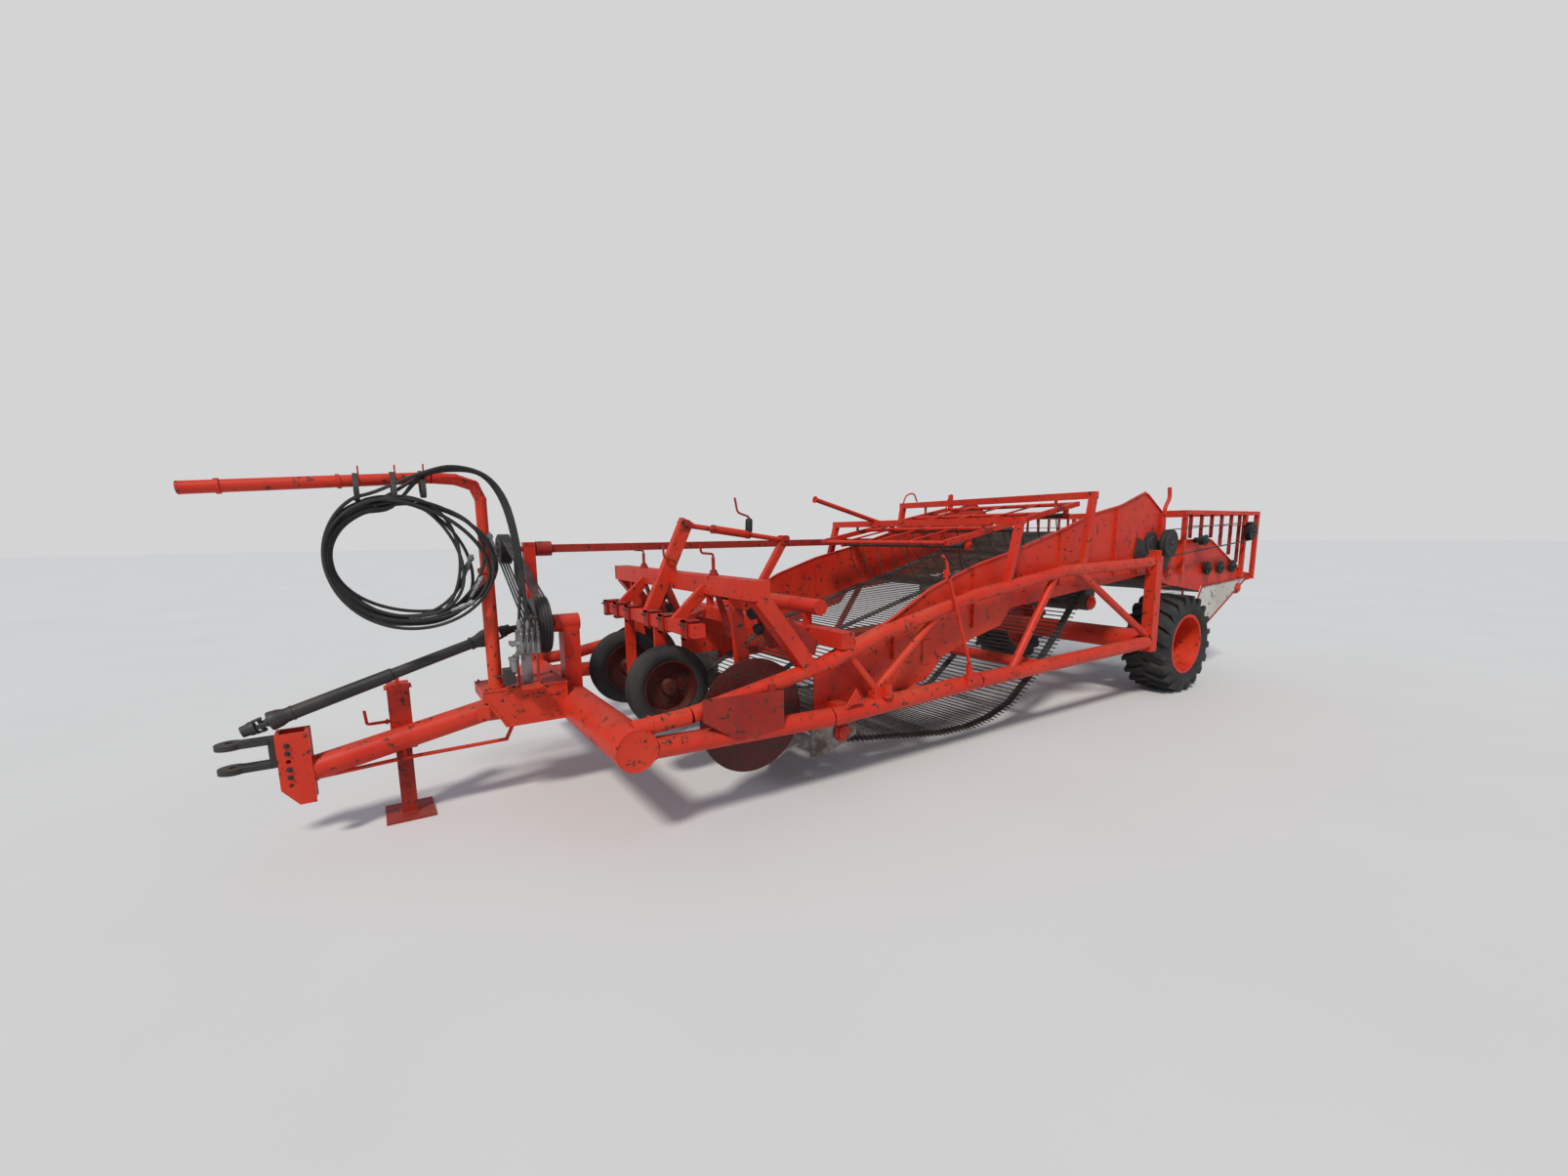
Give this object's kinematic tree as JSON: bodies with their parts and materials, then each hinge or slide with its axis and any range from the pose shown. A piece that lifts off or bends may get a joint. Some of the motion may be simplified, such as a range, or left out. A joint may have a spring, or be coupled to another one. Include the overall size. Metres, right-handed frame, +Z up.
{
  "type": "towed potato harvester",
  "caption": "Towed harvester that digs and lifts row crops: tube chassis on two wheels and a jack, rod web between side walls, haulm tines, belt and shaft drive.",
  "frame": {"origin": "middle of the footprint on the ground", "axes": "+X rearward along the machine, +Y to its right side, +Z up"},
  "size_m": [9.01, 2.3, 1.9993],
  "materials": {
    "red_paint": "satin, sun-faded and rubbed",
    "dark_red_paint": "dull, worn",
    "worn_steel": "bare, soil-stained",
    "black_metal": "semi-matt",
    "black_rubber": "matt",
    "tyre": "matt, dusty",
    "white_sheet": "dusty",
    "grey_metal": "satin"
  },
  "bodies": {
    "chassis": {"hitch_head": "red_paint", "hitch_clevis": "black_metal", "drawbar": "red_paint", "console_box": "red_paint", "front_tube": "red_paint", "side_frame_left": "red_paint", "side_frame_right": "red_paint", "rear_tube": "red_paint", "side_wall_left": "red_paint", "side_wall_right": "red_paint", "cross_beam": "red_paint", "tool_beam": "red_paint", "guide_gang": "dark_red_paint", "adjusters": "dark_red_paint", "shares": "worn_steel", "digging_web": "worn_steel", "rollers": "worn_steel", "portals": "red_paint", "rear_web": "worn_steel", "rear_top_frame": "red_paint", "discharge_panels": "white_sheet", "pulleys": "black_metal", "drive_belts": "black_rubber", "gearbox": "dark_red_paint", "long_shaft": "dark_red_paint", "input_column": "red_paint", "pto_shaft": "black_metal", "hose_mast": "red_paint", "valve_block": "grey_metal", "jack_sleeve": "red_paint", "guide_sheet": "red_paint", "hose_coil": "black_rubber", "hose_tails": "black_rubber"},
    "wheel_left": {"tyre_left": "tyre", "rim_left": "red_paint"},
    "wheel_right": {"tyre_right": "tyre", "rim_right": "red_paint"},
    "guide_left": {"guide_wheel_left": "black_rubber"},
    "guide_right": {"guide_wheel_right": "black_rubber"},
    "disc_left": {"disc_left": "dark_red_paint"},
    "disc_right": {"disc_right": "dark_red_paint"},
    "jack_leg": {"jack_leg": "dark_red_paint"},
    "tines_front": {"tine_bar_front": "worn_steel"},
    "tines_middle": {"tine_bar_middle": "worn_steel"},
    "tines_rear": {"tine_bar_rear": "worn_steel"}
  },
  "joints": [
    {"name": "rear_wheel_left", "type": "hinge", "parent": "chassis", "child": "wheel_left", "pos_m": [2.815, -0.93, 0.48], "axis": [0, 1, 0], "continuous": true},
    {"name": "guide_wheel_left_spin", "type": "hinge", "parent": "chassis", "child": "guide_left", "pos_m": [-2.285, -0.375, 0.65], "axis": [0, 1, 0], "continuous": true},
    {"name": "disc_left_spin", "type": "hinge", "parent": "chassis", "child": "disc_left", "pos_m": [-1.985, -0.93, 0.54], "axis": [0, 1, 0], "continuous": true},
    {"name": "rear_wheel_right", "type": "hinge", "parent": "chassis", "child": "wheel_right", "pos_m": [2.815, 0.93, 0.48], "axis": [0, 1, 0], "continuous": true},
    {"name": "guide_wheel_right_spin", "type": "hinge", "parent": "chassis", "child": "guide_right", "pos_m": [-2.285, 0.375, 0.65], "axis": [0, 1, 0], "continuous": true},
    {"name": "disc_right_spin", "type": "hinge", "parent": "chassis", "child": "disc_right", "pos_m": [-1.985, 0.93, 0.54], "axis": [0, 1, 0], "continuous": true},
    {"name": "tines_front_swing", "type": "hinge", "parent": "chassis", "child": "tines_front", "pos_m": [0.035, 0, 1.48669], "axis": [0, -1, 0], "range_deg": [-10, 40]},
    {"name": "tines_middle_swing", "type": "hinge", "parent": "chassis", "child": "tines_middle", "pos_m": [0.655, 0, 1.60247], "axis": [0, -1, 0], "range_deg": [-10, 40]},
    {"name": "tines_rear_swing", "type": "hinge", "parent": "chassis", "child": "tines_rear", "pos_m": [1.275, 0, 1.71825], "axis": [0, -1, 0], "range_deg": [-10, 40]},
    {"name": "jack_slide", "type": "slide", "parent": "chassis", "child": "jack_leg", "axis": [0, 0, 1], "range_m": [0, 0.15]}
  ]
}
